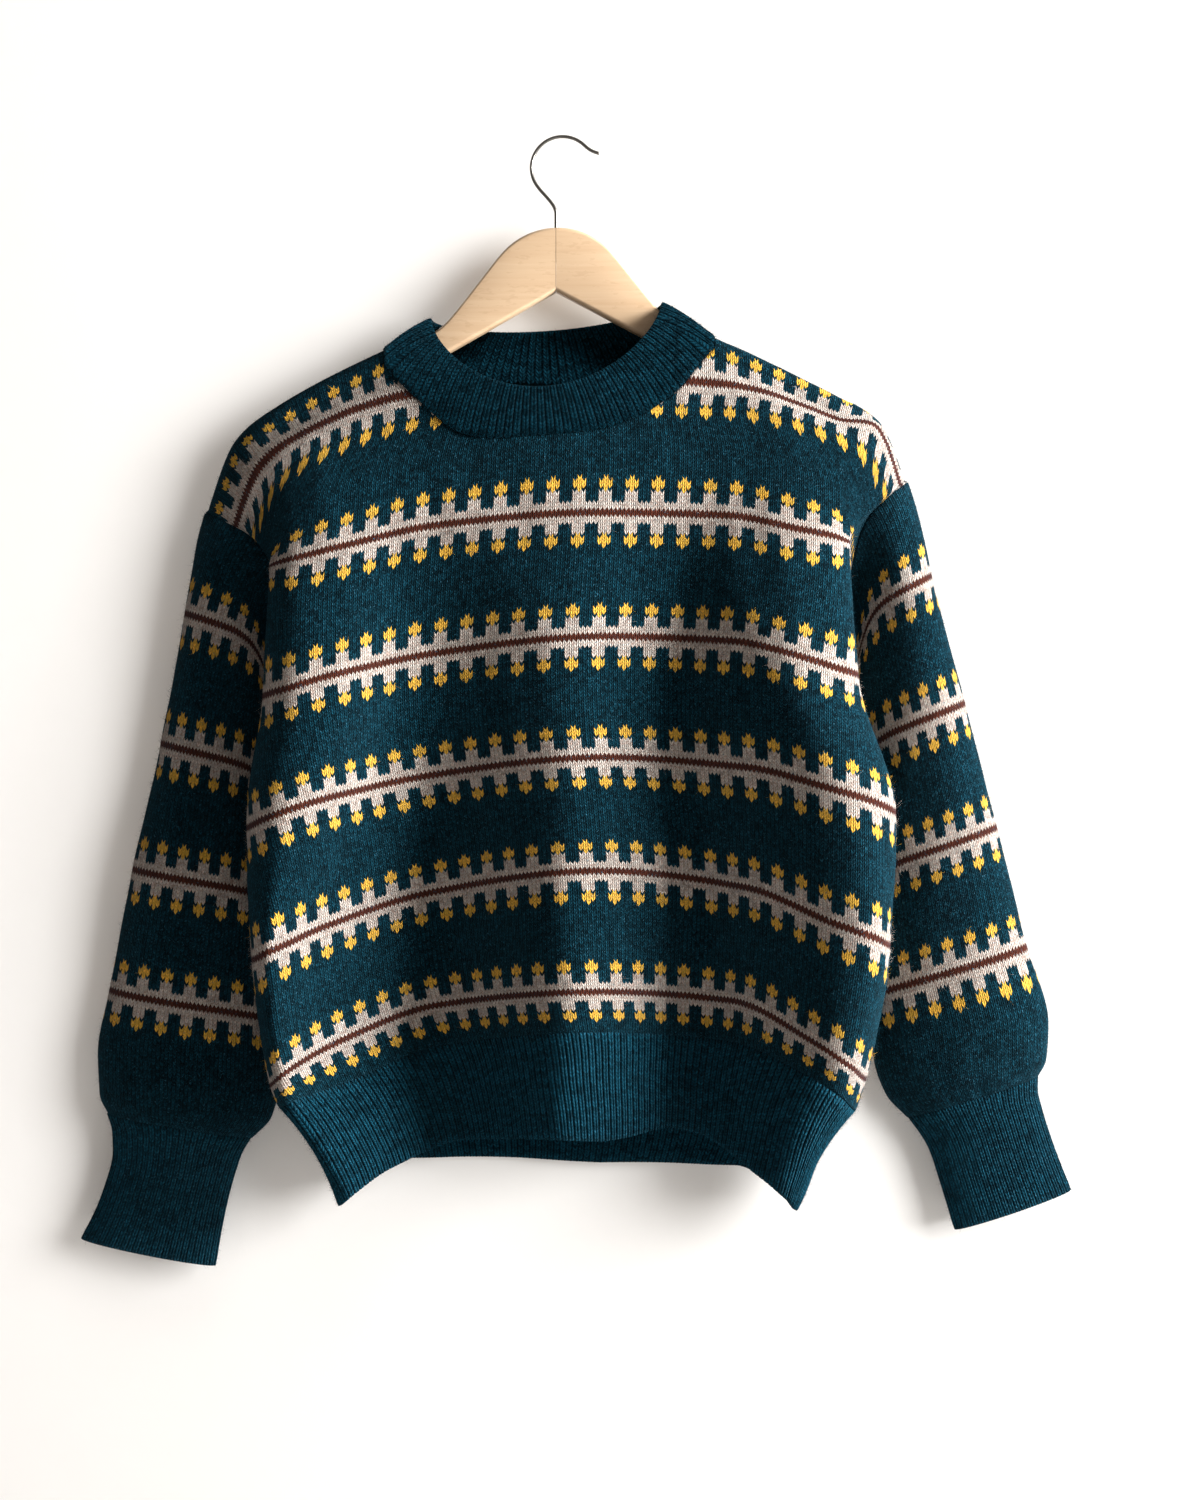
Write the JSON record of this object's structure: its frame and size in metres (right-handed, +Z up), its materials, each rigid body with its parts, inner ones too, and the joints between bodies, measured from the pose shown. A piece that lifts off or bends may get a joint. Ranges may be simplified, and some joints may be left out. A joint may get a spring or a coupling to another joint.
{
  "type": "fair isle jumper on a wooden clothes hanger",
  "caption": "Round-neck knitted jumper with patterned bands, ribbed neck, hem and cuffs and dropped shoulders, hanging on a wooden hanger with a wire hook.",
  "frame": {"origin": "inner crown of the hanger's hook, the point that rests on the nail or rail it hangs from", "axes": "+Z up, -Y the front of the jumper, +Y the wall side, +X the viewer's right (the wearer's left)"},
  "size_m": [0.7132, 0.1125, 0.8106],
  "materials": {
    "patterned_knit": "hairy wool stocking stitch in deep teal with bands of heathered grey, brown and yellow",
    "teal_rib": "hairy wool one by one rib in deep teal",
    "pale_beech": "smooth, satin varnish",
    "hook_steel": "bright drawn wire"
  },
  "bodies": {
    "root": {"front_panel": "patterned_knit", "back_panel": "patterned_knit", "sleeve_right": "patterned_knit", "sleeve_left": "patterned_knit", "hem_rib_front": "teal_rib", "hem_rib_back": "teal_rib", "cuff_right": "teal_rib", "cuff_left": "teal_rib", "neckband": "teal_rib", "hanger_half_right": "pale_beech", "hanger_half_left": "pale_beech", "hanger_hook": "hook_steel"}
  },
  "joints": []
}
